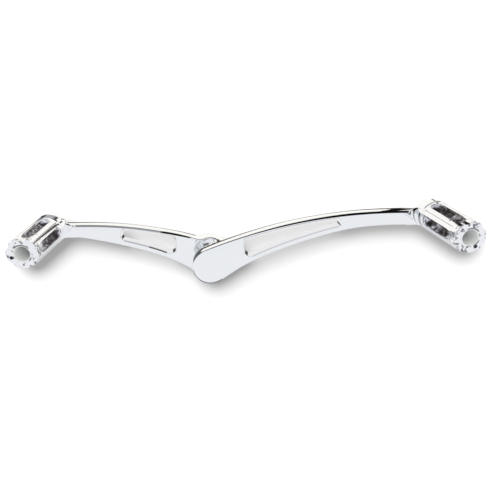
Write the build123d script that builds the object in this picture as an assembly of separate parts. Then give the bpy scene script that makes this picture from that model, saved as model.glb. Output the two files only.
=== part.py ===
from build123d import *

import os
from math import asin, cos, degrees, hypot, radians, sin

# A motorcycle heel and toe shift lever: a short lever for the toe and a long one for the heel, side by
# side on one splined shift shaft, each ending in a boss that carries a fluted foot peg.
# X runs along the motorcycle, with the heel peg at +X and the toe peg at -X, and Z is up.
# Y is the shaft's axis, with the outer side of the motorcycle at -Y.
# The origin is on that axis, at the inner face of the toe lever's hub, so outlines are drawn on the XZ plane.

# The stack of hubs along the shaft
arm_thickness = 12.7
toe_neck_height = 12.3
heel_neck_height = 11.0
toe_neck_radius = 14.8
heel_neck_radius = 13.0

# The rounding of the levers' edges, and the fine line engraved a little way in from them
arm_edge_round = 1.2
window_edge_break = 0.5
neck_edge_break = 0.6
neck_flare = 4.5
line_inset = 4.1
line_width = 0.5
line_depth = 0.25

# The splined bores that grip the shaft
spline_teeth = 36
spline_crest_radius = 7.3
spline_depth = 0.6
spline_crest_share = 0.45
spline_root_share = 0.3
bore_lead_in = 0.8
heel_bore_web = 6.0
slit_width = 2.0
heel_slit_web = 4.0

# The toe lever: its hub, its clamp ear, and its upper and lower curves from the hub to the peg
# Places along an arm are shares of the way from the shaft to the peg, so the arm follows when a peg is moved.
# A curve is a list of such shares, each with its height.
toe_hub_wall = 10.3
toe_ear_radius = 12.0
toe_ear_drop = 16.0
toe_ear_tangent = 237.0
toe_peg_x = -159.0
toe_peg_z = 31.5
toe_top_slope = 163.0
toe_top = [(0.025, 13.8), (0.199, 22.1), (0.329, 26.5), (0.457, 30.1), (0.584, 32.6), (0.755, 34.3), (0.981, 34.5)]
toe_bottom = [(0.204, -9.3), (0.459, 7.1), (0.704, 17.4), (0.855, 21.7), (0.981, 21.7)]
toe_hub_fillet = 8.0
toe_window_ends = (0.572, 0.221)
toe_rail_top = 1.95
toe_rail_bottom = 5.4
toe_window_corners = (5.2, 5.2, 7.5, 7.0)
toe_line_ends = (0.906, 0.579)

# The heel lever
heel_hub_wall = 9.8
heel_peg_x = 215.5
heel_peg_z = 49.5
heel_top_tangent = 112.5
heel_bottom_tangent = -58.0
heel_top = [(0.137, 29.4), (0.322, 40.6), (0.504, 47.9), (0.696, 52.2), (0.858, 53.1), (0.993, 53.1)]
heel_bottom = [(0.135, -1.9), (0.271, 12.6), (0.45, 26.2), (0.682, 37.5), (0.789, 39.0), (0.993, 39.0)]
heel_window_ends = (0.154, 0.589)
heel_rail_top = 2.5
heel_rail_bottom = 5.0
heel_window_corners = (2.5, 7.0, 2.8, 2.8)
heel_hub_line_ends = (-0.014, 0.144)
heel_peg_line_ends = (0.596, 0.923)

# The boss at each lever's end
boss_radius = 15.0
boss_height = 8.0
boss_rim = 0.6
boss_root_radius = 8.8
boss_cone_depth = 7.0
boss_back_wall = 4.0
boss_round = 2.0
flare_radius = 7.0
flare_depth = 5.5
flare_reach = 24.0
flare_start = 5.0

# The fluted pegs
peg_length = 62.5
peg_shoulder_radius = 14.6
peg_tip_radius = 13.8
peg_shoulder_round = 1.6
peg_tip_break = 0.9
flute_count = 5
flute_cutter_radius = 4.9
flute_floor_radius = 9.6
flute_start = 5.2
flute_ramp_start = 0.74
flute_ramp_end = 0.88
scallop_floor_radius = 12.3
rib_line_width = 0.9
rib_line_depth = 0.5
peg_bore_radius = 7.0
peg_bore_floor = 20.0
toe_peg_clocking = 44.0
heel_peg_clocking = 149.0

# The screws, each a socket cap screw: shank, head and hexagon sizes
clearance = 0.2
thread_clearance = 0.05
peg_screw_radius = 4.0
peg_screw_head_radius = 6.5
peg_screw_head_height = 8.0
peg_screw_socket = 6.0
peg_thread_depth = 15.0
toe_clamp_radius = 2.5
toe_clamp_head_radius = 4.25
toe_clamp_head_height = 5.0
toe_clamp_socket = 4.0
toe_clamp_sink = 0.8
toe_clamp_length = 17.0
heel_clamp_radius = 2.5
heel_clamp_head_radius = 4.25
heel_clamp_head_height = 5.0
heel_clamp_socket = 4.0
heel_clamp_wall = 1.8
heel_clamp_seat = 4.6
heel_clamp_length = 14.0
tapped_hole_spare = 1.5

# A height that is more than any outline's
tall = 200.0

# Places along the shaft, all measured outward from the inner face
toe_face = arm_thickness
neck_joint = toe_face + toe_neck_height
heel_back = neck_joint + heel_neck_height
heel_face = heel_back + arm_thickness
heel_bore_end = heel_face - heel_bore_web

# The hubs and their clamp screws, worked out from the bore
bore_radius = spline_crest_radius + spline_depth
toe_hub_radius = bore_radius + toe_hub_wall
heel_hub_radius = bore_radius + heel_hub_wall
toe_clamp_seat = toe_ear_radius - toe_clamp_head_height - toe_clamp_sink
heel_clamp_drop = bore_radius + heel_clamp_wall + clearance + heel_clamp_radius


def at_depth(depth, sketch):
    """Puts a sketch, drawn in X and Z, at a distance outward along the shaft."""
    return Plane.XZ.offset(depth) * sketch


def slab(sketch, start, end):
    """The solid between two distances along the shaft."""
    return extrude(at_depth(start, sketch), amount=end - start)


def round_outline(solid, radius):
    """Rounds the rims of a slab's two flat faces."""
    rims = solid.faces().filter_by(Axis.Y).edges()
    return fillet(rims, radius)


def corner_near(sketch, x, z):
    return sketch.vertices().sort_by_distance(Vector(x, z, 0))[0]


def on_circle(radius, angle, drop=0):
    return (radius * cos(radians(angle)), radius * sin(radians(angle)) - drop)


def heading(angle):
    return (cos(radians(angle)), sin(radians(angle)))


def curve_to(peg_x, points):
    """The places of a curve whose points are shares of the way to the peg, each with its height."""
    return [(peg_x * share, height) for share, height in points]


def span_to(peg_x, ends):
    return tuple(peg_x * share for share in ends)


def arm_outline(top, bottom, top_heading, bottom_heading):
    """The face between an upper and a lower curve that leave the hub, with a round end under the peg."""
    outward = 1 if top[-1][0] > 0 else -1
    level = (outward, 0)
    end_radius = (top[-1][1] - bottom[-1][1]) / 2
    tip = (top[-1][0] + outward * end_radius, bottom[-1][1] + end_radius)
    upper = Spline(*top, tangents=(heading(top_heading), level))
    lower = Spline(*bottom, tangents=(heading(bottom_heading), level))
    return make_face([upper, ThreePointArc(top[-1], tip, bottom[-1]), lower, Line(bottom[0], top[0])])


def window_outline(arm, ends, rail_top, rail_bottom, corners):
    """A long opening that leaves a rail of the arm above and below it, with its four corners rounded."""
    left, right = ends
    band = Pos((left + right) / 2, 0) * Rectangle(right - left, tall)
    window = band & (Pos(0, -rail_top) * arm) & (Pos(0, rail_bottom) * arm)
    places = []
    for x in (left, right):
        stack = [v for v in window.vertices() if abs(v.X - x) < 0.01]
        heights = sorted(v.Y for v in stack)
        places += [(x, heights[-1]), (x, heights[0])]
    for place, radius in zip(places, corners):
        window = fillet(corner_near(window, *place), radius)
    return window


def break_window(lever):
    """Breaks the window's edges on the two flat faces of an arm."""
    flats = lever.faces().filter_by(Axis.Y).sort_by(SortBy.AREA)[-2:]
    rims = [edge for flat in flats for wire in flat.inner_wires() for edge in wire.edges()]
    return chamfer(rims, window_edge_break)


def engraved_line(arm, inset, ends, face):
    """A shallow line cut in an arm's face along its upper edge, or its lower one for a negative inset."""
    left, right = ends
    step = line_width if inset > 0 else -line_width
    strip = Pos((left + right) / 2, 0) * Rectangle(right - left, tall)
    band = strip & ((Pos(0, -inset) * arm) - (Pos(0, -inset - step) * arm))
    return slab(band, face - line_depth, face + 1)


def splined_bore(start, end):
    """The hole that a splined shaft leaves: a crest circle with a root groove between each two teeth."""
    pitch = 360 / spline_teeth
    crest_half = pitch * spline_crest_share / 2
    root_half = pitch * spline_root_share / 2
    groove = Polygon(
        *[
            (radius * cos(radians(angle)), radius * sin(radians(angle)))
            for radius, angle in (
                (spline_crest_radius - spline_depth, crest_half - pitch / 2),
                (spline_crest_radius, crest_half - pitch / 2),
                (bore_radius, -root_half),
                (bore_radius, root_half),
                (spline_crest_radius, pitch / 2 - crest_half),
                (spline_crest_radius - spline_depth, pitch / 2 - crest_half),
            )
        ],
        align=None,
    )
    profile = Circle(spline_crest_radius) + [Rot(0, 0, pitch * i) * groove for i in range(spline_teeth)]
    return slab(profile, start, end)


def lead_in(depth, inward):
    """The cone that breaks a bore's edge, narrowing to one side along the shaft."""
    wide = bore_radius + bore_lead_in
    cone = Cone(wide, wide - 2 * bore_lead_in, 2 * bore_lead_in, align=(Align.CENTER, Align.CENTER, Align.MIN))
    return Plane((0, -depth, 0), z_dir=(0, inward, 0)) * cone


def boss(x, z, face):
    """The round boss under a peg: a disc on the arm's face that tapers to a short root behind it."""
    rim = face - boss_rim
    root_start = rim - boss_cone_depth
    root_end = face + boss_height - peg_thread_depth - tapped_hole_spare - boss_back_wall
    with_edges = Polyline(
        (0, root_end),
        (boss_root_radius, root_end),
        (boss_root_radius, root_start),
        (boss_radius, rim),
        (boss_radius, face + boss_height),
        (0, face + boss_height),
        (0, root_end),
    )
    profile = make_face(with_edges)
    turned = revolve(profile, Axis.Y)
    edges = turned.edges().sort_by(Axis.Y)
    turned = fillet(edges[0], boss_round)
    front = turned.edges().filter_by(GeomType.CIRCLE).sort_by(Axis.Y)[-1]
    turned = chamfer(front, boss_rim)
    return Pos(x, 0, z) * Rot(0, 0, 180) * turned


def flare(arm, x, z, face, side):
    """The web that widens the arm's outline smoothly into the boss."""
    disc = Pos(x, z) * Circle(boss_radius)
    reach = Pos(x + side * flare_reach / 2, z) * Rectangle(flare_reach, 4 * boss_radius)
    shape = disc + (arm & reach)
    mouths = [v for v in shape.vertices() if abs(hypot(v.X - x, v.Y - z) - boss_radius) < 0.01]
    mouths = [v for v in mouths if side * (v.X - x) > flare_start]
    shape = fillet(mouths, flare_radius)
    keep = Pos(x + side * (flare_start + flare_reach / 2), z) * Rectangle(flare_reach, 4 * boss_radius)
    return slab(shape & keep, face - flare_depth, face)


def neck(radius, start, end):
    """The round boss that stands on a hub's face, with the outer edge of its far face broken."""
    post = slab(Circle(radius), start, end)
    rims = post.edges().filter_by(GeomType.CIRCLE).sort_by(Axis.Y)
    return chamfer(rims[0], neck_edge_break)


def neck_flare_on(arm, radius, face):
    """The hollow curve between a neck and the arm's face, kept clear of the arm's rounded edges."""
    reach = radius + neck_flare
    lift = face + neck_flare
    bend = neck_flare * (1 - sin(radians(45)))
    corner = make_face(
        [
            Line((radius, face), (reach, face)),
            ThreePointArc((reach, face), (radius + bend, face + bend), (radius, lift)),
            Line((radius, lift), (radius, face)),
        ]
    )
    collar = Rot(0, 0, 180) * revolve(corner, Axis.Y)
    edge = 1.15 * arm_edge_round
    inside = (Pos(0, -edge) * arm) & (Pos(0, edge) * arm)
    return collar & slab(inside, face - 1, lift + 1)


def screw_hole(radius, head_radius, drop, seat, depth_along_shaft):
    """The stepped hole across a clamp slit: head room, clearance, and the tapped part that runs out beyond."""
    room = 40.0
    centre = (0, -depth_along_shaft, -drop)
    across = Plane(centre, z_dir=(1, 0, 0))
    head = across.offset(seat) * Cylinder(head_radius + clearance, room, align=(Align.CENTER, Align.CENTER, Align.MIN))
    free = across * Cylinder(radius + clearance, seat, align=(Align.CENTER, Align.CENTER, Align.MIN))
    tapped = across * Cylinder(radius + thread_clearance, room, align=(Align.CENTER, Align.CENTER, Align.MAX))
    return head + free + tapped


def cap_screw(radius, length, head_radius, head_height, socket):
    """A socket cap screw along +Z, with the underside of its head at zero."""
    shank = Pos(0, 0, -length) * Cylinder(radius, length, align=(Align.CENTER, Align.CENTER, Align.MIN))
    shank = chamfer(shank.edges().sort_by(Axis.Z)[0], radius * 0.2)
    head = Cylinder(head_radius, head_height, align=(Align.CENTER, Align.CENTER, Align.MIN))
    head = chamfer(head.edges().sort_by(Axis.Z)[-1], head_height * 0.08)
    hexagon = RegularPolygon(socket / 2, 6, major_radius=False)
    recess = Pos(0, 0, head_height / 2) * extrude(hexagon, amount=head_height)
    return shank + head - recess


def make_toe_lever():
    lean = -degrees(asin((toe_hub_radius - toe_ear_radius) / toe_ear_drop))
    hub_ends = [on_circle(toe_hub_radius, angle) for angle in (180, 90, lean)]
    ear_ends = [on_circle(toe_ear_radius, angle, toe_ear_drop) for angle in (lean, -90, 180)]
    hub = make_face(
        [
            ThreePointArc(*hub_ends),
            Line(hub_ends[-1], ear_ends[0]),
            ThreePointArc(*ear_ends),
            Line(ear_ends[-1], hub_ends[0]),
        ]
    )
    upper = curve_to(toe_peg_x, toe_top)
    lower = [on_circle(toe_ear_radius, toe_ear_tangent, toe_ear_drop)] + curve_to(toe_peg_x, toe_bottom)
    arm = arm_outline(upper, lower, toe_top_slope, toe_ear_tangent - 90)
    outline = hub + arm
    throat = corner_near(outline, *on_circle(toe_hub_radius, 120))
    outline = fillet(throat, toe_hub_fillet)
    lever = round_outline(slab(outline, 0, toe_face), arm_edge_round)
    window_ends = span_to(toe_peg_x, toe_window_ends)
    window = window_outline(arm, window_ends, toe_rail_top, toe_rail_bottom, toe_window_corners)
    lever = break_window(lever - slab(window, -1, toe_face + 1))
    lever = lever - engraved_line(arm, line_inset, span_to(toe_peg_x, toe_line_ends), toe_face)
    lever = lever + neck(toe_neck_radius, toe_face - 1, neck_joint) + neck_flare_on(arm, toe_neck_radius, toe_face)
    lever = lever + flare(arm, toe_peg_x, toe_peg_z, toe_face, 1) + boss(toe_peg_x, toe_peg_z, toe_face)
    lever = lever - splined_bore(-1, neck_joint + 1) - lead_in(0, -1) - lead_in(neck_joint, 1)
    slit = Pos(0, -toe_hub_radius - toe_ear_drop) * Rectangle(slit_width, 2 * (toe_hub_radius + toe_ear_drop))
    lever = lever - slab(slit, -1, neck_joint + 1)
    lever = lever - screw_hole(
        toe_clamp_radius, toe_clamp_head_radius, toe_ear_drop, toe_clamp_seat, toe_face / 2
    )
    return lever - peg_thread(toe_peg_x, toe_peg_z, toe_face)


def make_heel_lever():
    upper = [on_circle(heel_hub_radius, heel_top_tangent)] + curve_to(heel_peg_x, heel_top)
    lower = [on_circle(heel_hub_radius, heel_bottom_tangent)] + curve_to(heel_peg_x, heel_bottom)
    arm = arm_outline(upper, lower, heel_top_tangent - 90, heel_bottom_tangent + 90)
    outline = Rot(0, 0, 180) * Circle(heel_hub_radius) + arm
    lever = round_outline(slab(outline, heel_back, heel_face), arm_edge_round)
    window_ends = span_to(heel_peg_x, heel_window_ends)
    window = window_outline(arm, window_ends, heel_rail_top, heel_rail_bottom, heel_window_corners)
    lever = break_window(lever - slab(window, heel_back - 1, heel_face + 1))
    lever = lever - engraved_line(arm, line_inset, span_to(heel_peg_x, heel_hub_line_ends), heel_face)
    lever = lever - engraved_line(arm, -line_inset, span_to(heel_peg_x, heel_peg_line_ends), heel_face)
    lever = lever + slab(Circle(heel_neck_radius), neck_joint, heel_back + 1)
    lever = lever + flare(arm, heel_peg_x, heel_peg_z, heel_face, -1) + boss(heel_peg_x, heel_peg_z, heel_face)
    lever = lever - splined_bore(neck_joint - 1, heel_bore_end) - lead_in(neck_joint, -1)
    slit = Pos(0, -heel_hub_radius) * Rectangle(slit_width, 2 * heel_hub_radius)
    lever = lever - slab(slit, neck_joint - 1, heel_face - heel_slit_web)
    lever = lever - screw_hole(
        heel_clamp_radius, heel_clamp_head_radius, heel_clamp_drop, heel_clamp_seat, heel_back + arm_thickness / 2
    )
    return lever - peg_thread(heel_peg_x, heel_peg_z, heel_face)


def peg_thread(x, z, face):
    top = face + boss_height
    hole = Pos(x, z) * Circle(peg_screw_radius + thread_clearance)
    return slab(hole, top - peg_thread_depth - tapped_hole_spare, top + 1)


def capsule(start, end, radius):
    """A round-nosed cutter's sweep along one straight move."""
    path = Vector(*end) - Vector(*start)
    rod = Plane(start, z_dir=path) * Cylinder(radius, path.length, align=(Align.CENTER, Align.CENTER, Align.MIN))
    return rod + Pos(*start) * Sphere(radius) + Pos(*end) * Sphere(radius)


def make_peg():
    """One fluted peg along +Z, with its base at zero."""
    profile = make_face(
        Polyline(
            (0, 0),
            (peg_shoulder_radius - peg_shoulder_round, 0),
            (peg_shoulder_radius, peg_shoulder_round),
            (peg_shoulder_radius, flute_start),
            (peg_tip_radius, peg_length - peg_tip_break),
            (peg_tip_radius - peg_tip_break, peg_length),
            (0, peg_length),
            (0, 0),
        )
    )
    body = revolve(Plane.XZ * profile, Axis.Z)
    deep = flute_floor_radius + flute_cutter_radius
    shallow = scallop_floor_radius + flute_cutter_radius
    first = (deep, 0, flute_start + flute_cutter_radius)
    ramp_start = (deep, 0, peg_length * flute_ramp_start)
    ramp_end = (shallow, 0, peg_length * flute_ramp_end)
    beyond = (shallow, 0, peg_length + 2 * flute_cutter_radius)
    cutter = (
        capsule(first, ramp_start, flute_cutter_radius)
        + capsule(ramp_start, ramp_end, flute_cutter_radius)
        + capsule(ramp_end, beyond, flute_cutter_radius)
    )
    pitch = 360 / flute_count
    line_box = Box(2 * rib_line_depth, rib_line_width, peg_length, align=(Align.CENTER, Align.CENTER, Align.MIN))
    lean = degrees((peg_shoulder_radius - peg_tip_radius) / peg_length)
    line_cut = Pos(peg_shoulder_radius, 0, flute_start) * Rot(0, -lean, 0) * line_box
    for i in range(flute_count):
        body = body - Rot(0, 0, pitch * (i + 0.5)) * cutter
        body = body - Rot(0, 0, pitch * i) * line_cut
    bore = Pos(0, 0, peg_bore_floor) * Cylinder(
        peg_bore_radius, peg_length, align=(Align.CENTER, Align.CENTER, Align.MIN)
    )
    through = Cylinder(peg_screw_radius + clearance, 3 * peg_bore_floor)
    return body - bore - through


def on_boss(x, z, face, clocking, solid):
    """Stands a solid that was made along +Z on a boss, pointing outward, with its X at a clock angle."""
    seat = Plane(
        (x, -(face + boss_height), z),
        x_dir=(cos(radians(clocking)), 0, sin(radians(clocking))),
        z_dir=(0, -1, 0),
    )
    return seat * solid


def clamp_screw(radius, length, head_radius, head_height, socket, drop, seat, depth_along_shaft):
    place = Plane((seat, -depth_along_shaft, -drop), z_dir=(1, 0, 0))
    return place * cap_screw(radius, length, head_radius, head_height, socket)


peg = make_peg()
peg_screw_length = peg_bore_floor + peg_thread_depth
peg_screw = Pos(0, 0, peg_bore_floor) * cap_screw(
    peg_screw_radius, peg_screw_length, peg_screw_head_radius, peg_screw_head_height, peg_screw_socket
)

parts = {
    "toe_lever": make_toe_lever(),
    "heel_lever": make_heel_lever(),
    "toe_peg": on_boss(toe_peg_x, toe_peg_z, toe_face, toe_peg_clocking, peg),
    "heel_peg": on_boss(heel_peg_x, heel_peg_z, heel_face, heel_peg_clocking, peg),
    "toe_peg_screw": on_boss(toe_peg_x, toe_peg_z, toe_face, toe_peg_clocking, peg_screw),
    "heel_peg_screw": on_boss(heel_peg_x, heel_peg_z, heel_face, heel_peg_clocking, peg_screw),
    "toe_clamp_screw": clamp_screw(
        toe_clamp_radius, toe_clamp_length, toe_clamp_head_radius, toe_clamp_head_height, toe_clamp_socket,
        toe_ear_drop, toe_clamp_seat, toe_face / 2,
    ),
    "heel_clamp_screw": clamp_screw(
        heel_clamp_radius, heel_clamp_length, heel_clamp_head_radius, heel_clamp_head_height, heel_clamp_socket,
        heel_clamp_drop, heel_clamp_seat, heel_back + arm_thickness / 2,
    ),
}

os.makedirs("parts", exist_ok=True)
for name, solid in parts.items():
    export_step(solid, f"parts/{name}.step")
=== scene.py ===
# %% [markdown]
# A chrome heel and toe shift lever.
# The solids come from the packed model at their real size: two levers, two fluted pegs and four screws.
# Chrome has almost no colour of its own, so most of the work here is on what it mirrors: a white tent
# with a few black cloths, which draw the thin dark lines along every edge. A few more dark lines and
# patches are painted into the colour, as painted reflections and painted shade.

# %% Load the frame
from math import cos, pi, radians, sin
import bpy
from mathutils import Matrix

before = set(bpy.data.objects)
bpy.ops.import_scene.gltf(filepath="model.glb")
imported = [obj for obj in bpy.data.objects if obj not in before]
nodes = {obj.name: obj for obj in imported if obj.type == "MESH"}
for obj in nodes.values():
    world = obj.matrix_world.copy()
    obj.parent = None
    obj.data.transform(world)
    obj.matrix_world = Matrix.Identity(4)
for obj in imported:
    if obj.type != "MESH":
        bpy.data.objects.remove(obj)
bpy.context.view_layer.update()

from types import SimpleNamespace

import bpy
import numpy as np
from mathutils import Vector

MM = 0.001
DEGREES = 180 / pi
print("nodes:", sorted(nodes))

# %% [markdown]
# The camera stands a little above the levers and far enough to the left that the hub is near the middle
# of the picture. Its lens is worked out from the picture's width in pixels and the distance in pixels at
# which the two pegs converge, so the lens follows from the perspective.

# %% The camera
PICTURE_SIZE = 500
FOCAL_PIXELS = 440
SENSOR_WIDTH = 36.0
CAMERA_TURN = radians(-4.135)
CAMERA_HEIGHT = radians(20.670)
CAMERA_PLACE = Vector((10.213, -446.825, 167.603)) * MM

forward = Vector((
    -sin(CAMERA_TURN) * cos(CAMERA_HEIGHT),
    cos(CAMERA_TURN) * cos(CAMERA_HEIGHT),
    -sin(CAMERA_HEIGHT),
))
camera_data = bpy.data.cameras.new("camera")
camera_data.sensor_width = SENSOR_WIDTH
camera_data.lens = SENSOR_WIDTH * FOCAL_PIXELS / PICTURE_SIZE
camera_data.clip_start = 0.01
camera_data.clip_end = 20.0
camera = bpy.data.objects.new("camera", camera_data)
camera.location = CAMERA_PLACE
camera.rotation_mode = "QUATERNION"
camera.rotation_quaternion = forward.to_track_quat("-Z", "Y")
bpy.context.scene.collection.objects.link(camera)
bpy.context.scene.camera = camera
bpy.context.scene.view_settings.view_transform = "Standard"
print("lens", round(camera_data.lens, 2), "mm")

# %% [markdown]
# Shader maths reads best as plain Python. A small class wraps a socket, so that adding or multiplying two
# of them adds the Math node. The reflected forms let a plain number stand first.


# %% A socket in an expression
class Signal:
    """A socket that can be used in a Python expression."""

    def __init__(self, ink, socket):
        self.ink = ink
        self.socket = socket

    def beside(self, name):
        """Another output of the same node."""
        return Signal(self.ink, self.socket.node.outputs[name])

    def math(self, operation, *others):
        return self.ink.node("ShaderNodeMath", {"operation": operation}, (self, *others))

    def __add__(self, other):
        return self.math("ADD", other)

    def __sub__(self, other):
        return self.math("SUBTRACT", other)

    def __rsub__(self, other):
        return self.ink.node("ShaderNodeMath", {"operation": "SUBTRACT"}, (other, self))

    def __mul__(self, other):
        return self.math("MULTIPLY", other)

    def __truediv__(self, other):
        return self.math("DIVIDE", other)

    __radd__ = __add__
    __rmul__ = __mul__


print("a signal can:", [name.strip("_") for name, value in vars(Signal).items() if callable(value)])

# %% [markdown]
# Every other node is made by one method, which takes the node's type, its settings and its inputs. On top
# of it stand the few shapes that the finishes are drawn with: a soft step, a band between two values, a
# colour laid over another, and a direction turned towards another. All through this file, a pair of
# numbers says where a soft step starts and ends, and three say a band's start, end and softness.


# %% The nodes of a material
class Ink:
    """The nodes of one material or of the world."""

    def __init__(self, owner):
        owner.use_nodes = True
        self.tree = owner.node_tree
        self.tree.nodes.clear()

    def node(self, kind, settings=None, inputs=(), output=0):
        """Adds a node, sets it, feeds its sockets by place or by name, and hands back one output."""
        made = self.tree.nodes.new(kind)
        for name, value in (settings or {}).items():
            if name == "stops":
                ramp = made.color_ramp
                while len(ramp.elements) < len(value):
                    ramp.elements.new(0.5)
                for stop, (place, colour) in zip(ramp.elements, value):
                    stop.position = place
                    stop.color = (*colour, 1.0)
            else:
                setattr(made, name, value)
        pairs = inputs.items() if isinstance(inputs, dict) else enumerate(inputs)
        for key, value in pairs:
            if isinstance(value, Signal):
                self.tree.links.new(value.socket, made.inputs[key])
            else:
                made.inputs[key].default_value = value
        return Signal(self, made.outputs[output])

    def parts(self, vector):
        """The X, Y and Z of a vector."""
        x = self.node("ShaderNodeSeparateXYZ", inputs=(vector,))
        return x, x.beside("Y"), x.beside("Z")

    def step(self, value, start, end):
        """Rises smoothly from 0 where the value is start to 1 where it is end."""
        inputs = (value, start, end, 0.0, 1.0)
        return self.node("ShaderNodeMapRange", {"interpolation_type": "SMOOTHSTEP"}, inputs)

    def band(self, value, low, high, soft):
        """1 between low and high, 0 outside, with soft borders."""
        return self.step(value, low - soft, low + soft) * self.step(value, high + soft, high - soft)

    def either(self, first, second):
        """The greater of two masks. A mask that a piece lacks is 0.0."""
        return self.node("ShaderNodeMath", {"operation": "MAXIMUM"}, (first, second))

    def blend(self, amount, first, second):
        """One colour laid over another."""
        inputs = {0: amount, 6: first, 7: second}
        return self.node("ShaderNodeMix", {"data_type": "RGBA"}, inputs, output=2)

    def bend(self, amount, first, second):
        """One direction turned towards another."""
        inputs = {0: amount, 4: first, 5: second}
        return self.node("ShaderNodeMix", {"data_type": "VECTOR"}, inputs, output=1)

    def finish_with(self, signal, kind="ShaderNodeOutputMaterial"):
        end = self.tree.nodes.new(kind)
        self.tree.links.new(signal.socket, end.inputs["Surface"])


print("an ink can:", [name.strip("_") for name, value in vars(Ink).items() if callable(value)])

# %% [markdown]
# The studio is a tent of white cloth round the levers. A mirror shows whatever lies in the mirrored
# direction, so the tent is painted by direction alone. Bearing is the angle from straight behind, to the
# right. Height is the angle above level. Roll is the angle round the levers' long axis, from level behind
# up over the top to the front. The white is warmer behind the levers, where their top faces look, and
# cooler in front, where their broad faces look.

# %% The tent's white
CREAM = (1.0, 0.985, 0.945)
COOL = (0.84, 0.855, 0.88)
LOW = (0.72, 0.73, 0.75)
HIGH = (0.80, 0.84, 0.86)
HIGH_FRONT = (0.80, 0.83, 0.86)
WHITES = [
    (-180, COOL), (-140, COOL), (-100, LOW), (-30, LOW), (-5, CREAM),
    (35, CREAM), (100, HIGH), (150, HIGH_FRONT), (180, COOL),
]


def tent_white(ink, roll):
    stops = [((angle + 180) / 360, colour) for angle, colour in WHITES]
    return ink.node("ShaderNodeValToRGB", {"stops": stops}, (roll / 360 + 0.5,))


print("whites at rolls of", [angle for angle, colour in WHITES], "degrees")

# %% [markdown]
# Black cloths hang in the tent, and they are what makes chrome look like chrome: each narrow face picks
# one of them up as a thin line. One lies low behind the levers, one hangs over them, one is a narrow
# strip that crosses the heel arm's top face, and a pale grey one at the left cools the pegs.

# %% The cloths
BLACK_CLOTH = (0.004, 0.004, 0.004, 1.0)
DARK_CLOTH = (0.075, 0.070, 0.060, 1.0)
GREY_CLOTH = (0.52, 0.55, 0.58, 1.0)
LOW_HEIGHT = (-10, 11.5, 0.7)
LOW_BEARING = (-27.5, 23.5, 0.8)
OVER_FRONT_ROLL = (30, 31.5)
OVER_BACK_ROLL = (112, 100)
OVER_REACH = (0.72, 0.62)
STRIP_BEARING = (21.8, 25.3, 0.2)
STRIP_ROLL = (10, 60, 1)
GREY_BEARING = (-165, -100, 6)
GREY_HEIGHT = (-12, 35, 4)


def hang_cloths(ink, white, across, bearing, roll, height):
    """The tent's colour with the cloths in it."""
    grey = ink.band(bearing, *GREY_BEARING) * ink.band(height, *GREY_HEIGHT)
    low = ink.band(height, *LOW_HEIGHT) * ink.band(bearing, *LOW_BEARING)
    over = ink.step(roll, *OVER_FRONT_ROLL) * ink.step(roll, *OVER_BACK_ROLL)
    over = over * ink.step(across.math("ABSOLUTE"), *OVER_REACH)
    strip = ink.band(bearing, *STRIP_BEARING) * ink.band(roll, *STRIP_ROLL)
    tent = ink.blend(grey, white, GREY_CLOTH)
    tent = ink.blend(low, tent, DARK_CLOTH)
    return ink.blend(ink.either(over, strip), tent, BLACK_CLOTH)


print("low cloth from", LOW_HEIGHT[0], "to", LOW_HEIGHT[1], "degrees above level")

# %% [markdown]
# The camera sees plain white past the levers, and so would glass. Only mirrored rays see the tent with
# its cloths. All other rays get a soft white light, which reaches the dull spots and the board.

# %% The world
SOFT_LIGHT = 1.0
PLAIN_WHITE = (1.0, 1.0, 1.0, 1.0)


def background(ink, colour, strength):
    return ink.node("ShaderNodeBackground", inputs={"Color": colour, "Strength": strength})


def make_tent():
    world = bpy.data.worlds.new("tent")
    ink = Ink(world)
    across, behind, up = ink.parts(ink.node("ShaderNodeTexCoord"))
    bearing = across.math("ARCTAN2", behind) * DEGREES
    roll = up.math("ARCTAN2", behind) * DEGREES
    height = up.math("ARCSINE") * DEGREES
    tent = hang_cloths(ink, tent_white(ink, roll), across, bearing, roll, height)
    camera_ray = ink.node("ShaderNodeLightPath")
    seen = ink.either(camera_ray, camera_ray.beside("Is Transmission Ray"))
    soft = background(ink, PLAIN_WHITE, SOFT_LIGHT)
    plain = ink.node("ShaderNodeMixShader", inputs=(seen, soft, background(ink, PLAIN_WHITE, 1.0)))
    mirrored = background(ink, tent, 1.0)
    glossy_ray = camera_ray.beside("Is Glossy Ray")
    shown = ink.node("ShaderNodeMixShader", inputs=(glossy_ray, plain, mirrored))
    ink.finish_with(shown, "ShaderNodeOutputWorld")
    return world


bpy.context.scene.world = make_tent()
print("world nodes:", len(bpy.context.scene.world.node_tree.nodes))

# %% [markdown]
# The levers float in front of a white board, square to the camera. The metal doesn't mirror it, and from
# behind it is clear, so that the back of the levers can be looked at.

# %% The board
BOARD_GAP = 12 * MM
BOARD_SIZE = 3.0
BOARD_PAPER = 0.40
BOARD_PLACE = forward * BOARD_GAP


def board_paper():
    material = bpy.data.materials.new("board_paper")
    ink = Ink(material)
    colour = (BOARD_PAPER, BOARD_PAPER, BOARD_PAPER, 1)
    paper = ink.node("ShaderNodeBsdfDiffuse", inputs={"Color": colour})
    clear = ink.node("ShaderNodeBsdfTransparent")
    back = ink.node("ShaderNodeNewGeometry", output="Backfacing")
    ink.finish_with(ink.node("ShaderNodeMixShader", inputs=(back, paper, clear)))
    return material


def make_board():
    half = BOARD_SIZE / 2
    corners = [(-half, -half, 0), (half, -half, 0), (half, half, 0), (-half, half, 0)]
    mesh = bpy.data.meshes.new("board")
    mesh.from_pydata(corners, [], [(0, 1, 2, 3)])
    mesh.materials.append(board_paper())
    made = bpy.data.objects.new("board", mesh)
    bpy.context.scene.collection.objects.link(made)
    made.rotation_mode = "QUATERNION"
    made.rotation_quaternion = (-forward).to_track_quat("Z", "Y")
    made.location = BOARD_PLACE
    made.visible_glossy = False
    return made


board = make_board()
print("board", BOARD_SIZE, "m wide,", BOARD_GAP / MM, "mm behind the shaft's axis")

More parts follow.
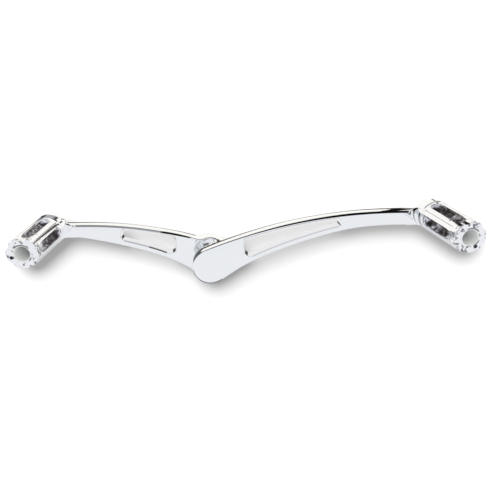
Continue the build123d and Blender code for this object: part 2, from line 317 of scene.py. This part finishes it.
# %% [markdown]
# The shadow on the board is a flat, even one, the same distance down and right of every edge, which no
# solid as deep as this can throw by itself. A studio gets it with paper cut-outs close to the board. Each
# cut-out here is the outline of one piece, drawn onto a plane in front of the board as the camera sees
# it. No ray sees it except the lamp's shadow rays.

# %% The cut-outs
CUTOUT_GAP = 20 * MM
UNSEEN_BY = ("camera", "glossy", "diffuse", "transmission", "volume_scatter")


def make_cutout(node):
    reach = (BOARD_PLACE - CAMERA_PLACE).dot(forward) - CUTOUT_GAP
    flat = []
    for vertex in node.data.vertices:
        sight = node.matrix_world @ vertex.co - CAMERA_PLACE
        flat.append(CAMERA_PLACE + sight * (reach / sight.dot(forward)))
    mesh = bpy.data.meshes.new("cutout")
    mesh.from_pydata(flat, [], [tuple(face.vertices) for face in node.data.polygons])
    cutout = bpy.data.objects.new(f"cutout_of_{node.name}", mesh)
    bpy.context.scene.collection.objects.link(cutout)
    for ray in UNSEEN_BY:
        setattr(cutout, f"visible_{ray}", False)
    return cutout


cutouts = [make_cutout(node) for node in nodes.values()]
print("cut-outs:", len(cutouts))

# %% [markdown]
# One wide, soft lamp shines over the camera's left shoulder. It is linked to the board alone and is
# blocked by the cut-outs alone, so the metal stays lit by the tent. The lamp's width sets how soft the
# shadow is, and its slant how far the shadow falls to the right and down.

# %% The lamp
LAMP_STRENGTH = 6.2
LAMP_SPREAD = radians(51)
SHADOW_RIGHT = 0.24
SHADOW_DOWN = 0.48


def linked_group(name, pieces):
    """A collection that a lamp can be linked to."""
    group = bpy.data.collections.new(name)
    for piece in pieces:
        group.objects.link(piece)
    return group


def make_lamp(lit, shading):
    data = bpy.data.lights.new("lamp", "SUN")
    data.energy = LAMP_STRENGTH
    data.angle = LAMP_SPREAD
    made = bpy.data.objects.new("lamp", data)
    bpy.context.scene.collection.objects.link(made)
    right = forward.cross(Vector((0, 0, 1))).normalized()
    up = right.cross(forward)
    beam = forward + right * SHADOW_RIGHT - up * SHADOW_DOWN
    made.rotation_mode = "QUATERNION"
    made.rotation_quaternion = beam.to_track_quat("-Z", "Y")
    made.visible_glossy = False
    made.light_linking.receiver_collection = linked_group("lit_by_lamp", lit)
    made.light_linking.blocker_collection = linked_group("shading_the_board", shading)
    return made


lamp = make_lamp([board], cutouts)

# %% [markdown]
# The levers are forged, ground, polished and plated. Their finish and the reflections and shade painted
# on them differ from place to place, so each lever has a list of its places: the bar between boss and
# hub, the window through it, the flare to the peg's boss, and the parts of the hub that look at something
# dark, where dark reflections are painted. Lengths are in metres from the shaft's axis, and angles in
# degrees. A place that a lever lacks is None.

# %% Where things are on the levers
HALF_BAR = 6.35 * MM
BOSS_HEIGHT = 8 * MM
toe = SimpleNamespace(
    name="toe_lever",
    middle=-6.35 * MM,
    edge_span=(-136 * MM, -22 * MM),
    bar=(-136 * MM, -20 * MM, 2 * MM),
    rounder=(-52 * MM, -42 * MM),
    shoulder=(0.0, -0.69, 0.724),
    window=(-92 * MM, -34 * MM),
    window_line=(23.6 * MM, -0.2078, -0.054),
    lines=[(-88 * MM, -64.0 * MM, 0.40), (-63.5 * MM, -45.6 * MM, 0.95)],
    flare=(-153 * MM, -140 * MM, 1 * MM),
    hub_border=(-10 * MM, -18 * MM),
    cap=(2 * MM, 8 * MM),
    neck_turn=(95, 118, 4),
    neck_y=(-34 * MM, -18 * MM, 1 * MM),
    nook_turn=None,
    under_turn=None,
    hem_radius=None,
    boss=(-159.0 * MM, 31.5 * MM),
    boss_near=0.5 * MM,
    smoky_reflection_turn=(48, 118, 3),
    black_reflection_turn=(118, 130, 2),
)
heel = SimpleNamespace(
    name="heel_lever",
    middle=-42.35 * MM,
    edge_span=(-2 * MM, 192 * MM),
    bar=(-4 * MM, 194 * MM, 2 * MM),
    rounder=(80 * MM, 135 * MM),
    shoulder=(0.0, -0.652, 0.758),
    window=(34 * MM, 128 * MM),
    window_line=(16.7 * MM, 0.3794, -1.2265),
    lines=[(42 * MM, 125 * MM, 0.18)],
    flare=(184 * MM, 204 * MM, 1 * MM),
    hub_border=None,
    cap=None,
    neck_turn=None,
    neck_y=None,
    nook_turn=(118, 158, 4),
    under_turn=(-130, -50, 6),
    hem_radius=(16.1 * MM, 16.4 * MM),
    boss=(215.5 * MM, 49.5 * MM),
    boss_near=4.5 * MM,
    smoky_reflection_turn=(-60, -5, 3),
    black_reflection_turn=(-5, 12, 2),
)
levers = (toe, heel)
print("windows", [round((lever.window[1] - lever.window[0]) / MM) for lever in levers], "mm long")

# %% [markdown]
# Polishing rounds the front shoulder of the bar, which follows its curved upper edge. The edge's height
# along the bar is measured from the solid itself: the highest point in each of a row of slices, and a
# curve through them.

# %% The upper edge of a bar
EDGE_SLICES = 24
EDGE_POWER = 4


def upper_edge(lever):
    """The factors of a curve for the height of the upper edge along x, highest power first."""
    start, end = lever.edge_span
    width = (end - start) / EDGE_SLICES
    points = [vertex.co for vertex in nodes[lever.name].data.vertices]
    on_bar = [point for point in points if abs(point.y - lever.middle) < HALF_BAR]
    tops = []
    for number in range(EDGE_SLICES):
        left = start + number * width
        heights = [point.z for point in on_bar if left <= point.x < left + width]
        if heights:
            tops.append((left + width / 2, max(heights)))
    places, heights = np.array(tops).T
    factors = np.polyfit(places, heights, EDGE_POWER)
    error = float(abs(np.polyval(factors, places) - heights).max())
    print(lever.name, "upper edge within", round(error / MM, 2), "mm")
    return [float(factor) for factor in factors]


for lever in levers:
    lever.edge = upper_edge(lever)

# %% [markdown]
# All masks on a lever are made from where a point is and which way it faces. Side runs from -1 on the
# bar's front face to 1 on its back face, and turn is the angle round the shaft.


# %% What a point of a lever knows
def read_surface(ink, lever):
    place = ink.node("ShaderNodeTexCoord", output="Object")
    x, y, z = ink.parts(place)
    normal = ink.node("ShaderNodeNewGeometry", output="Normal")
    facing_x, facing_y, facing_z = ink.parts(normal)
    side = (y - lever.middle) / HALF_BAR
    along_bar = ink.band(x, *lever.bar)
    return SimpleNamespace(
        place=place, x=x, y=y, z=z, normal=normal, facing_y=facing_y, facing_z=facing_z,
        away=facing_y.math("ABSOLUTE"),
        side=side,
        turn=z.math("ARCTAN2", x) * DEGREES,
        on_bar=ink.step(side.math("ABSOLUTE"), 1.12, 1.02),
        along_bar=along_bar,
        rounder=ink.step(x, *lever.rounder) * along_bar,
    )


print("bars", 2 * HALF_BAR / MM, "mm thick")

# %% [markdown]
# The window's lower wall faces up and mirrors the tent's top. Its colour is painted shade, a little
# darker and bluer than the rest. Along its front rim runs a dark line, a painted reflection of the black
# cloth over the levers.

# %% The window's lower wall
WALL_FACING = (0.1, 0.4)
WALL_SOFT = 0.5 * MM
LINE_SOFT = 0.4 * MM
LINE_SIDE = (-0.45, -0.65)


def window_wall(ink, at, lever):
    start, end = lever.window
    low, slope, curve = lever.window_line
    reach = at.x - start
    middle_line = low + slope * reach + curve * reach * reach
    wall = ink.band(at.x, start, end, WALL_SOFT) * ink.step(at.facing_z, *WALL_FACING)
    return wall * ink.step(at.z - middle_line, WALL_SOFT, 0)


# The dark rim line is a painted reflection of the black cloth over the levers.
def painted_rim_lines(ink, at, lever, wall):
    lines = sum(ink.band(at.x, start, end, LINE_SOFT) * depth for start, end, depth in lever.lines)
    return lines * wall * ink.step(at.side, *LINE_SIDE)


print("dark lines:", {lever.name: len(lever.lines) for lever in levers})

# %% [markdown]
# Polishing by hand leaves a narrow face a little crowned, and the crown pulls the black cloths into thin
# lines along both its edges. The solids have flat faces, so the crown is a tilt of the normal: none in
# the middle of the bar, most at its rims, none on the boss and the hub. The flare to the boss is hollow
# and is turned to the front.

# %% The crown
BACK_TILT = 0.105
FRONT_TILT = 0.13
ROUNDER_TILT = 0.03
FLARE_TILT = 4
WALL_FLATNESS = 0.8
CLEAR_OF_BOSS = (10 * MM, 14 * MM)
FLARE_FACING = (-0.5, -0.6)


def crown_lean(ink, at, lever, wall):
    """What the crown adds to the normal."""
    back = at.side.math("MAXIMUM", 0) * BACK_TILT
    front = at.side.math("MINIMUM", 0) * (FRONT_TILT + ROUNDER_TILT * at.rounder)
    boss_x = abs(lever.boss[0])
    off_boss = ink.step(at.x.math("ABSOLUTE"), *(boss_x - clear for clear in CLEAR_OF_BOSS))
    off_hub = ink.step(at.x, *lever.hub_border) if lever.hub_border else 1.0
    flare = ink.band(at.x, *lever.flare) * ink.step(at.facing_y, *FLARE_FACING)
    crown = (back + front) * at.on_bar * off_boss * off_hub * (1 - wall * WALL_FLATNESS)
    return ink.node("ShaderNodeCombineXYZ", inputs=(0.0, crown - flare * FLARE_TILT, 0.0))


print("crown tilts", round(BACK_TILT * DEGREES, 1), "and", round(FRONT_TILT * DEGREES, 1), "degrees")

# %% [markdown]
# Below the upper edge the front shoulder is turned to one fixed direction, in which it sees the cloth
# overhead. That is the firm black line under the top face, and it grows where the shoulder is rounder.
# The round cap of the toe hub is turned back up to the white.

# %% The shoulder and the cap
SHOULDER_DEPTH = 1.9 * MM
SHOULDER_SOFT = 0.2 * MM
SHOULDER_FACING = (-0.15, -0.4)
SHOULDER_SIDE = (-0.7, -0.8)
ROUND_SHOULDER = (0.0, -0.5, 0.866)
CAP_FACING = (0.2, 0.4)
CAP_DIRECTION = (0.0, 0.05, 1.0)


def shoulder_mask(ink, at, lever):
    height = at.x * lever.edge[0] + lever.edge[1]
    for factor in lever.edge[2:]:
        height = height * at.x + factor
    top = ink.step(at.z - height, -SHOULDER_DEPTH - SHOULDER_SOFT, -SHOULDER_DEPTH + SHOULDER_SOFT)
    front = ink.step(at.facing_y, *SHOULDER_FACING) * ink.step(at.side, *SHOULDER_SIDE)
    return top * at.along_bar * front


def cap_mask(ink, at, lever):
    if lever.cap is None:
        return 0.0
    return ink.step(at.x, *lever.cap) * ink.step(at.facing_z, *CAP_FACING) * at.on_bar


def polished_normal(ink, at, lever, wall):
    lean = crown_lean(ink, at, lever, wall)
    normal = ink.node("ShaderNodeVectorMath", {"operation": "ADD"}, (at.normal, lean))
    shoulder = ink.bend(at.rounder, lever.shoulder, ROUND_SHOULDER)
    normal = ink.bend(shoulder_mask(ink, at, lever), normal, shoulder)
    normal = ink.bend(cap_mask(ink, at, lever), normal, CAP_DIRECTION)
    return ink.node("ShaderNodeVectorMath", {"operation": "NORMALIZE"}, (normal,))


print("shoulder", SHOULDER_DEPTH / MM, "mm high")

# %% [markdown]
# Round the hubs the two levers mirror each other and the dark gap between them. These reflections are
# painted into the colour as painted dark reflections: the heel hub's flank towards the toe lever, its
# underside, the lower hem of its face, and a leaf on the toe hub's neck.

# %% Painted dark reflections at the hubs
FLANK_AWAY = (0.97, 0.85)
NECK_AWAY = (0.8, 0.6)
UNDER_FACING = (-0.05, -0.2)
HEM_TURN = (-170, -60, 6)
HEM_FACING = (-0.8, -0.9)


def nook_reflection_mask(ink, at, lever):
    """Painted dark reflection on the heel hub's flank and underside."""
    if lever.nook_turn is None:
        return 0.0
    flank = ink.band(at.turn, *lever.nook_turn) * ink.step(at.away, *FLANK_AWAY)
    under = ink.band(at.turn, *lever.under_turn) * ink.step(at.facing_z, *UNDER_FACING)
    return ink.either(flank * at.on_bar, under * at.on_bar)


def neck_reflection_mask(ink, at, lever):
    """A painted dark reflection, a leaf on the toe hub's neck."""
    if lever.neck_turn is None:
        return 0.0
    leaf = ink.band(at.turn, *lever.neck_turn) * ink.band(at.y, *lever.neck_y)
    return leaf * ink.step(at.away, *NECK_AWAY)


def hem_reflection_mask(ink, at, lever):
    """Painted dark reflection on the lower hem of the heel hub's face."""
    if lever.hem_radius is None:
        return 0.0
    radius = (at.x * at.x + at.z * at.z).math("SQRT")
    hem = ink.step(radius, *lever.hem_radius) * ink.band(at.turn, *HEM_TURN)
    return hem * ink.step(at.facing_y, *HEM_FACING)


print("nook on", [lever.name for lever in levers if lever.nook_turn])

# %% [markdown]
# The boss under each peg mirrors the peg's own dark flutes; this is painted into the colour as a smoky
# painted reflection with a black end.

# %% Painted reflections on the bosses
BOSS_SOFT = 0.4 * MM
BOSS_AWAY = (0.8, 0.6)


def boss_reflection_masks(ink, at, lever):
    """The painted smoky reflection and its painted black end."""
    face = lever.middle - HALF_BAR
    turn = (at.z - lever.boss[1]).math("ARCTAN2", lever.boss[0] - at.x) * DEGREES
    on_boss = ink.band(at.y, face - BOSS_HEIGHT, face - lever.boss_near, BOSS_SOFT)
    on_boss = on_boss * ink.step(at.away, *BOSS_AWAY)
    return ink.band(turn, *lever.smoky_reflection_turn) * on_boss, ink.band(turn, *lever.black_reflection_turn) * on_boss


print("bosses", BOSS_HEIGHT / MM, "mm high")

# %% [markdown]
# The chrome itself is almost white, a touch blue, and very smooth, with the faint waviness that polishing
# leaves. The dark places, which are painted reflections and painted shade, are laid over it as tints,
# darkest last.

# %% Lever chrome
CHROME = (0.97, 0.975, 0.985, 1.0)
# The tints below are painted: painted shade on the window's lower wall, and painted dark reflections at
# the hubs, on the bosses and along the window rims.
WALL_SHADE_TINT = (0.80, 0.805, 0.86, 1.0)
NOOK_REFLECTION_TINT = (0.07, 0.07, 0.065, 1.0)
SMOKY_REFLECTION_TINT = (0.30, 0.30, 0.34, 1.0)
BLACK_REFLECTION_TINT = (0.015, 0.015, 0.015, 1.0)
WAVES = {"Scale": 90.0, "Detail": 3.0}
WAVE_BUMP = {"Strength": 0.12, "Distance": 0.1 * MM}


def lever_chrome(lever):
    material = bpy.data.materials.new(f"{lever.name}_chrome")
    ink = Ink(material)
    at = read_surface(ink, lever)
    wall = window_wall(ink, at, lever)
    nook = nook_reflection_mask(ink, at, lever)
    smoky_reflection, black_reflection = boss_reflection_masks(ink, at, lever)
    # Painted shade and painted reflections, laid over the chrome as tints.
    colour = ink.blend(wall, CHROME, WALL_SHADE_TINT)
    colour = ink.blend(ink.either(nook, neck_reflection_mask(ink, at, lever)), colour, NOOK_REFLECTION_TINT)
    colour = ink.blend(ink.either(smoky_reflection, hem_reflection_mask(ink, at, lever)), colour, SMOKY_REFLECTION_TINT)
    colour = ink.blend(ink.either(black_reflection, painted_rim_lines(ink, at, lever, wall)), colour, BLACK_REFLECTION_TINT)
    waves = ink.node("ShaderNodeTexNoise", inputs={"Vector": at.place, **WAVES})
    normal = ink.node("ShaderNodeBump", inputs={
        **WAVE_BUMP, "Height": waves, "Normal": polished_normal(ink, at, lever, wall),
    })
    ink.finish_with(ink.node("ShaderNodeBsdfPrincipled", inputs={
        "Base Color": colour, "Metallic": 1.0, "Roughness": 0.03 + waves * 0.03 + nook * 0.1,
        "Normal": normal,
    }))
    return material


finishes = {lever.name: lever_chrome(lever) for lever in levers}
print("lever finishes:", {name: len(finish.node_tree.nodes) for name, finish in finishes.items()})

# %% [markdown]
# Each peg is turned, fluted and plated. Every mask on it follows from where a point lies round and along
# the peg's own axis. Radius is the distance from that axis, along runs from 0 at the root to 1 at the
# tip, and share is the place between one rib's middle and the next.

# %% Where things are on a peg
PEG_LENGTH = 62.5 * MM
RIB_PITCH = 360 / 5
toe_peg = SimpleNamespace(
    name="toe_peg", axis=(-159.0 * MM, 31.5 * MM), root=-20.7 * MM, clock=44, big_spot_turn=radians(199),
)
heel_peg = SimpleNamespace(
    name="heel_peg", axis=(215.5 * MM, 49.5 * MM), root=-56.7 * MM, clock=149, big_spot_turn=radians(-54),
)


def read_peg(ink, peg):
    place = ink.node("ShaderNodeTexCoord", output="Object")
    x, y, z = ink.parts(place)
    dx = x - peg.axis[0]
    dz = z - peg.axis[1]
    turn = dz.math("ARCTAN2", dx) * DEGREES
    return SimpleNamespace(
        place=place, dx=dx, dz=dz,
        radius=(dx * dx + dz * dz).math("SQRT"),
        along=(peg.root - y) / PEG_LENGTH,
        share=((turn - peg.clock) / RIB_PITCH + 0.5).math("FRACT"),
    )


pegs = (toe_peg, heel_peg)
print("ribs every", RIB_PITCH, "degrees on", [peg.name for peg in pegs])

# %% [markdown]
# Deep in the flutes the colour is painted with dark reflections, brown and black, in blots that two sizes
# of noise make: small blots in a wide wash. These painted reflections grow lighter towards both ends of a
# flute.

# %% The painted reflections in the flutes
DEEP_RADIUS = (13.7 * MM, 12.6 * MM)
DEEP_END = (0.93, 0.86)
BLOT = {"Scale": 230.0, "Detail": 4.0, "Roughness": 0.6}
WASH = {"Scale": 70.0, "Detail": 2.0}
BLOT_DEPTH = 1.5
WASH_DEPTH = 1.3
REFLECTION_MIDDLE = 0.68
TIP_FADE = (0.62, 0.86)
ROOT_FADE = (0.17, 0.09)
FLUTE_REFLECTION_COLOURS = [
    (0.0, (0.004, 0.004, 0.005)),
    (0.55, (0.012, 0.010, 0.011)),
    (0.66, (0.06, 0.042, 0.036)),
    (0.76, (0.16, 0.15, 0.17)),
    (0.88, (0.42, 0.41, 0.46)),
    (1.0, (0.85, 0.85, 0.88)),
]


# The flutes' colour is a painted reflection, dark and brown, drawn from the two noises.
def painted_flute_reflections(ink, at, blot, wash):
    level = (blot - 0.5) * BLOT_DEPTH + (wash - 0.5) * WASH_DEPTH + REFLECTION_MIDDLE
    level = level + ink.step(at.along, *TIP_FADE) * 0.45 + ink.step(at.along, *ROOT_FADE) * 0.2
    return ink.node("ShaderNodeValToRGB", {"stops": FLUTE_REFLECTION_COLOURS}, (level,))


print("stain colours:", len(FLUTE_REFLECTION_COLOURS))

# %% [markdown]
# The ribs are worn bright, with one fine score along the middle, whose dark colour is painted shade in
# its
# groove. The tip has dark spots: small ones round the crown, some on the bore's lip, and one larger one.

# %% The score and the dark spots
SCORE_SHARE = (0.488, 0.512, 0.004)
SCORE_ALONG = (0.06, 0.86, 0.02)
SPOT_BLOT = (0.54, 0.62)
SPOT_ALONG = (0.86, 0.93)
LIP_RADIUS = (7.3 * MM, 8.5 * MM, 0.2 * MM)
LIP_WASH = (0.5, 0.56)
LIP_ALONG = (0.97, 0.99)
BIG_SPOT_RADIUS = 9.6 * MM
BIG_SPOT_SIZE = (2.0 * MM, 1.2 * MM)
BIG_SPOT_ALONG = (0.9, 0.95)
BIG_SPOT_DEPTH = 1.3
SPOT_DEPTH = 0.78


def score_mask(ink, at):
    return ink.band(at.share, *SCORE_SHARE) * ink.band(at.along, *SCORE_ALONG)


def dark_spot_mask(ink, at, peg, blot, wash):
    spots = ink.step(blot, *SPOT_BLOT) * ink.step(at.along, *SPOT_ALONG)
    lip = ink.band(at.radius, *LIP_RADIUS) * ink.step(wash, *LIP_WASH) * ink.step(at.along, *LIP_ALONG)
    big_spot_x = at.dx - BIG_SPOT_RADIUS * cos(peg.big_spot_turn)
    big_spot_z = at.dz - BIG_SPOT_RADIUS * sin(peg.big_spot_turn)
    distance = (big_spot_x * big_spot_x + big_spot_z * big_spot_z).math("SQRT")
    big_spot = ink.step(distance, *BIG_SPOT_SIZE) * ink.step(at.along, *BIG_SPOT_ALONG)
    spots = ink.either(ink.either(spots, lip), big_spot * BIG_SPOT_DEPTH)
    return (spots * SPOT_DEPTH).math("MINIMUM", 1)


print("big_spot", BIG_SPOT_RADIUS / MM, "mm from the axis")

# %% [markdown]
# The bore is left dull and unplated, so it is the one place that isn't metal in the shader.

# %% Peg chrome
RIB_CHROME = (0.97, 0.965, 0.985, 1.0)
SCORE_SHADE_TINT = (0.22, 0.22, 0.25, 1.0)
SPOT_TINT = (0.02, 0.02, 0.025, 1.0)
BORE_TINT = (0.95, 0.962, 0.952, 1.0)
BORE_RADIUS = (7.4 * MM, 7.15 * MM)
PEG_BUMP = {"Strength": 0.2, "Distance": 0.2 * MM}


def peg_chrome(peg):
    material = bpy.data.materials.new(f"{peg.name}_chrome")
    ink = Ink(material)
    at = read_peg(ink, peg)
    blot = ink.node("ShaderNodeTexNoise", inputs={"Vector": at.place, **BLOT})
    wash = ink.node("ShaderNodeTexNoise", inputs={"Vector": at.place, **WASH})
    score = score_mask(ink, at)
    deep = ink.step(at.radius, *DEEP_RADIUS) * ink.step(at.along, *DEEP_END)
    bore = ink.step(at.radius, *BORE_RADIUS)
    # The score's dark tint is painted shade, and the flute colours are painted reflections.
    colour = ink.blend(score, RIB_CHROME, SCORE_SHADE_TINT)
    colour = ink.blend(dark_spot_mask(ink, at, peg, blot, wash), colour, SPOT_TINT)
    colour = ink.blend(deep, colour, painted_flute_reflections(ink, at, blot, wash))
    colour = ink.blend(bore, colour, BORE_TINT)
    height = blot * deep + wash * 0.3 - score
    ink.finish_with(ink.node("ShaderNodeBsdfPrincipled", inputs={
        "Base Color": colour, "Metallic": 1.0 - bore, "Roughness": 0.08 + deep * 0.2 + bore * 0.6,
        "Normal": ink.node("ShaderNodeBump", inputs={**PEG_BUMP, "Height": height}),
    }))
    return material


for peg in pegs:
    finishes[peg.name] = peg_chrome(peg)
print("peg finish nodes:", [len(finishes[peg.name].node_tree.nodes) for peg in pegs])

# %% [markdown]
# The screws are dull steel with a fine grain. The peg screws are painted pale, a painted light that
# matches the bright bores they sit at the bottom of, and the clamp screws under the hubs are oxidised
# dark.

# %% Screw steel
PALE_STEEL = (0.93, 0.95, 0.93)
DARK_STEEL = (0.30, 0.30, 0.31)
GRAIN = {"Scale": 400.0, "Detail": 3.0}
GRAIN_BUMP = {"Strength": 0.1, "Distance": 0.1 * MM}
GRAIN_SHADE = 0.8
SCREWS = {
    "toe_peg_screw": PALE_STEEL,
    "heel_peg_screw": PALE_STEEL,
    "toe_clamp_screw": DARK_STEEL,
    "heel_clamp_screw": DARK_STEEL,
}


def screw_steel(name, base):
    material = bpy.data.materials.new(f"{name}_steel")
    ink = Ink(material)
    place = ink.node("ShaderNodeTexCoord", output="Object")
    grain = ink.node("ShaderNodeTexNoise", inputs={"Vector": place, **GRAIN})
    shade = tuple(value * GRAIN_SHADE for value in base)
    ink.finish_with(ink.node("ShaderNodeBsdfPrincipled", inputs={
        "Base Color": ink.blend(grain, (*base, 1.0), (*shade, 1.0)),
        "Metallic": 0.2, "Roughness": 0.5 + grain * 0.2,
        "Normal": ink.node("ShaderNodeBump", inputs={**GRAIN_BUMP, "Height": grain}),
    }))
    return material


for name, base in SCREWS.items():
    finishes[name] = screw_steel(name, base)
print("screw finishes:", list(SCREWS))

# %% [markdown]
# Every node of the packed model takes its finish as it is. Nothing is moved, re-meshed or added.

# %% Every finish on its node
for name, finish in finishes.items():
    nodes[name].data.materials.clear()
    nodes[name].data.materials.append(finish)
print("bare nodes:", sorted(set(nodes) - set(finishes)))
print("at rest as made:", all(nodes[name].matrix_world.is_identity for name in finishes))
